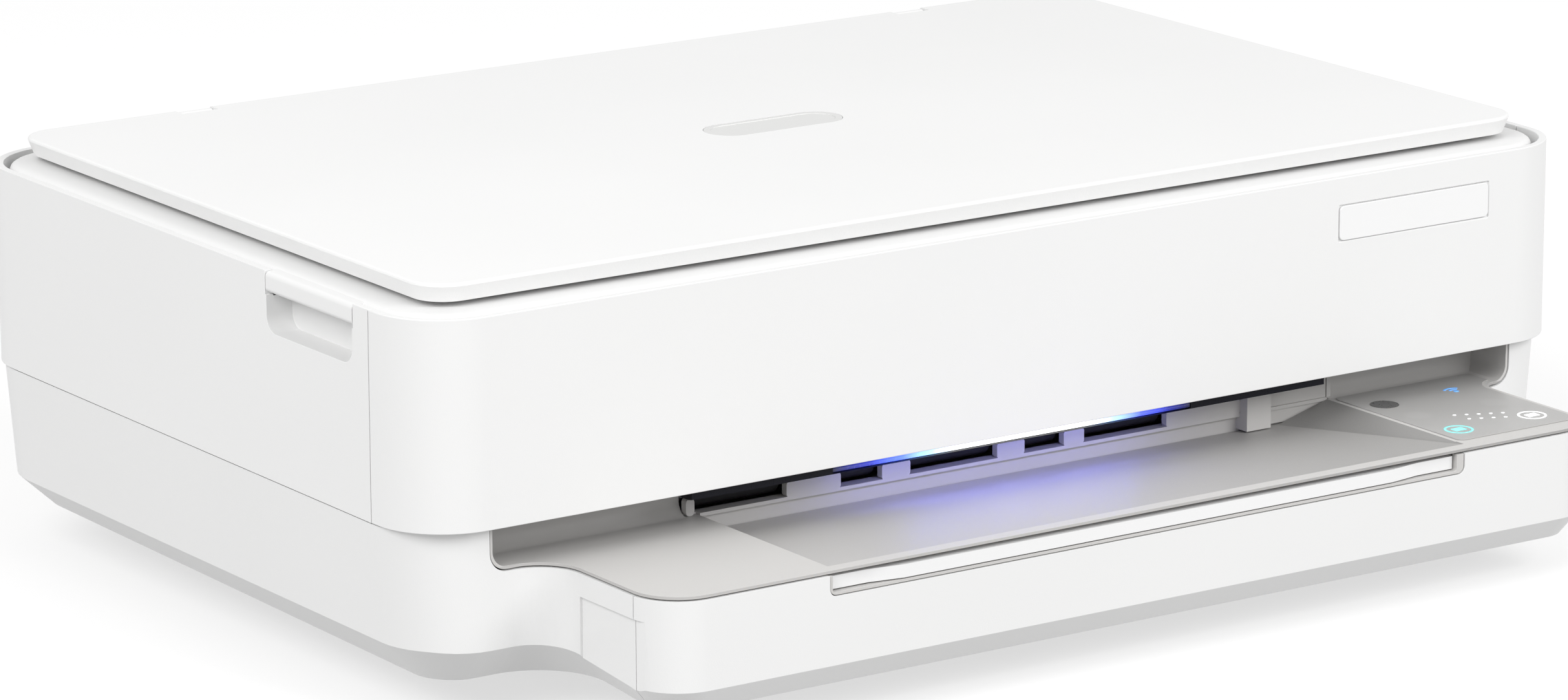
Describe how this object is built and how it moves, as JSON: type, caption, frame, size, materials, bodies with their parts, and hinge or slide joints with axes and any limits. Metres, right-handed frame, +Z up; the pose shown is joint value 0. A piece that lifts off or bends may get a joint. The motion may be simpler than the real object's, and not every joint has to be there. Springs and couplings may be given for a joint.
{
  "type": "inkjet printer",
  "caption": "White flatbed all-in-one inkjet printer with a hinged scanner lid, a slide-out paper tray, a sunken output channel and a glowing touch panel.",
  "frame": {"origin": "centre of the overall box at the underside of the feet", "axes": "+X to the viewer's right seen from the front, +Y to the rear, +Z up"},
  "size_m": [0.4326, 0.361, 0.132],
  "materials": {
    "white_plastic": "fine-textured white moulding",
    "white_gloss": "smooth white",
    "grey_plastic": "fine-textured warm light grey",
    "panel_plastic": "smooth grey touch overlay",
    "icon_ink": "light inlays",
    "light_guide": "clear light guide",
    "dark_plastic": "dark engine plastic",
    "black_plastic": "black plastic",
    "gear_plastic": "natural acetal",
    "steel": "zinc-plated or ground steel",
    "brass": "turned brass",
    "rubber": "matt rubber",
    "glass": "clear plate",
    "board": "glass-fibre board",
    "foam": "white backing sheet"
  },
  "bodies": {
    "base": {"lower_body": "white_plastic", "feet": "rubber", "side_shell": "white_plastic", "front_fascia": "white_plastic", "name_plate": "white_gloss", "rear_cover": "white_plastic", "turn_guide": "dark_plastic", "output_deck": "grey_plastic", "exit_wall": "grey_plastic", "exit_hood": "dark_plastic", "light_bar": "light_guide", "control_panel": "panel_plastic", "panel_icons": "icon_ink", "unit_hinges": "steel", "chassis": "steel", "chassis_screws": "steel", "carriage_rod": "steel", "carriage_belt": "rubber", "carriage_motor": "steel", "platen": "dark_plastic", "feed_motor": "steel", "roller_holders": "dark_plastic", "service_station": "dark_plastic", "main_board": "board", "power_supply": "black_plastic"},
    "tray": {"tray_front": "white_plastic", "tray_body": "grey_plastic", "tray_cover": "grey_plastic"},
    "guide_left": {"guide_left": "grey_plastic"},
    "guide_right": {"guide_right": "grey_plastic"},
    "guide_pinion": {"guide_pinion": "gear_plastic"},
    "extender": {"output_extender": "white_gloss"},
    "scanner_unit": {"scanner_frame": "white_plastic", "scanner_glass": "glass", "scan_bed": "dark_plastic", "scan_rod": "steel", "scan_motor": "steel", "scan_belt": "rubber"},
    "scan_bar": {"scan_bar": "dark_plastic"},
    "scan_pulley": {"scan_pulley": "gear_plastic"},
    "scan_idler": {"scan_idler": "gear_plastic"},
    "lid": {"scanner_lid": "white_plastic", "lid_badge": "panel_plastic", "lid_pad": "foam"},
    "carriage": {"carriage": "dark_plastic", "cartridges": "black_plastic"},
    "motor_pulley": {"motor_pulley": "gear_plastic"},
    "idler_pulley": {"idler_pulley": "gear_plastic"},
    "feed": {"feed_shaft": "steel"},
    "idler_gear": {"idler_gear": "gear_plastic"},
    "motor_pinion": {"motor_pinion": "brass"},
    "exit": {"exit_shaft": "rubber"},
    "stars": {"star_wheels": "steel"},
    "pinch": {"pinch_rollers": "rubber"},
    "pick_arm": {"pick_arm": "dark_plastic"},
    "pick_roller": {"pick_roller": "rubber"},
    "sled": {"service_sled": "rubber"},
    "power_button": {"power_button": "grey_plastic"},
    "wifi_button": {"wifi_button": "grey_plastic"}
  },
  "joints": [
    {"name": "tray_slide", "type": "slide", "parent": "base", "child": "tray", "axis": [0, -1, 0], "range_m": [0, 0.15]},
    {"name": "guide_left_slide", "type": "slide", "parent": "tray", "child": "guide_left", "axis": [1, 0, 0], "range_m": [0, 0.045]},
    {"name": "guide_right_slide", "type": "slide", "parent": "tray", "child": "guide_right", "axis": [-1, 0, 0], "range_m": [0, 0.045]},
    {"name": "guide_pinion_spin", "type": "hinge", "parent": "tray", "child": "guide_pinion", "pos_m": [0.0115, -0.114, 0.02], "axis": [0, 0, 1], "range_deg": [0, 516]},
    {"name": "extender_slide", "type": "slide", "parent": "tray", "child": "extender", "axis": [0, -0.9968, 0.0797], "range_m": [0, 0.06]},
    {"name": "access_hinge", "type": "hinge", "parent": "base", "child": "scanner_unit", "pos_m": [0, 0.138, 0.1195], "axis": [-1, 0, 0], "range_deg": [0, 45]},
    {"name": "lid_hinge", "type": "hinge", "parent": "scanner_unit", "child": "lid", "pos_m": [0, 0.1345, 0.129], "axis": [-1, 0, 0], "range_deg": [0, 80]},
    {"name": "scan_slide", "type": "slide", "parent": "scanner_unit", "child": "scan_bar", "axis": [1, 0, 0], "range_m": [0, 0.276]},
    {"name": "scan_pulley_spin", "type": "hinge", "parent": "scanner_unit", "child": "scan_pulley", "pos_m": [-0.15, 0.03, 0.105], "axis": [0, 0, 1], "range_deg": [0, 3596]},
    {"name": "scan_idler_spin", "type": "hinge", "parent": "scanner_unit", "child": "scan_idler", "pos_m": [0.15, 0.03, 0.105], "axis": [0, 0, 1], "range_deg": [0, 3596]},
    {"name": "carriage_slide", "type": "slide", "parent": "base", "child": "carriage", "axis": [1, 0, 0], "range_m": [-0.28, 0]},
    {"name": "motor_pulley_spin", "type": "hinge", "parent": "base", "child": "motor_pulley", "pos_m": [-0.168, -0.0132, 0.08], "axis": [0, 0, 1], "range_deg": [-3648, 0]},
    {"name": "idler_pulley_spin", "type": "hinge", "parent": "base", "child": "idler_pulley", "pos_m": [0.18, -0.0132, 0.08], "axis": [0, 0, 1], "range_deg": [-3648, 0]},
    {"name": "feed_spin", "type": "hinge", "parent": "base", "child": "feed", "pos_m": [0, -0.034, 0.0505], "axis": [1, 0, 0], "continuous": true},
    {"name": "idler_gear_spin", "type": "hinge", "parent": "base", "child": "idler_gear", "pos_m": [0, -0.06996, 0.05211], "axis": [1, 0, 0], "continuous": true},
    {"name": "exit_spin", "type": "hinge", "parent": "base", "child": "exit", "pos_m": [0, -0.10093, 0.0535], "axis": [1, 0, 0], "continuous": true},
    {"name": "motor_pinion_spin", "type": "hinge", "parent": "base", "child": "motor_pinion", "pos_m": [0, -0.00769, 0.06008], "axis": [1, 0, 0], "continuous": true},
    {"name": "star_spin", "type": "hinge", "parent": "base", "child": "stars", "pos_m": [0, -0.09873, 0.0619], "axis": [1, 0, 0], "continuous": true},
    {"name": "pinch_spin", "type": "hinge", "parent": "base", "child": "pinch", "pos_m": [0, -0.034, 0.0597], "axis": [1, 0, 0], "continuous": true},
    {"name": "pick_arm_hinge", "type": "hinge", "parent": "base", "child": "pick_arm", "pos_m": [0, 0.06, 0.05], "axis": [1, 0, 0], "range_deg": [0, 18]},
    {"name": "pick_roller_spin", "type": "hinge", "parent": "pick_arm", "child": "pick_roller", "pos_m": [0, 0.104, 0.0322], "axis": [1, 0, 0], "continuous": true},
    {"name": "sled_slide", "type": "slide", "parent": "base", "child": "sled", "axis": [0, 1, 0], "range_m": [0, 0.014]},
    {"name": "power_button_press", "type": "slide", "parent": "base", "child": "power_button", "axis": [0, -1, 0], "range_m": [0, 0.0008], "stiffness_N_per_m": 300},
    {"name": "wifi_button_press", "type": "slide", "parent": "base", "child": "wifi_button", "axis": [0, -1, 0], "range_m": [0, 0.0008], "stiffness_N_per_m": 300}
  ],
  "couplings": [
    {"joint": "guide_right_slide", "follows": "guide_left_slide", "ratio": 1},
    {"joint": "guide_pinion_spin", "follows": "guide_left_slide", "rad_per_m": 200},
    {"joint": "scan_pulley_spin", "follows": "scan_slide", "rad_per_m": 227.27},
    {"joint": "scan_idler_spin", "follows": "scan_slide", "rad_per_m": 227.27},
    {"joint": "motor_pulley_spin", "follows": "carriage_slide", "rad_per_m": 227.27},
    {"joint": "idler_pulley_spin", "follows": "carriage_slide", "rad_per_m": 227.27},
    {"joint": "idler_gear_spin", "follows": "feed_spin", "ratio": -1.5714},
    {"joint": "exit_spin", "follows": "feed_spin", "ratio": 1.2941},
    {"joint": "motor_pinion_spin", "follows": "feed_spin", "ratio": -3.6667},
    {"joint": "pick_roller_spin", "follows": "feed_spin", "ratio": -0.5}
  ]
}
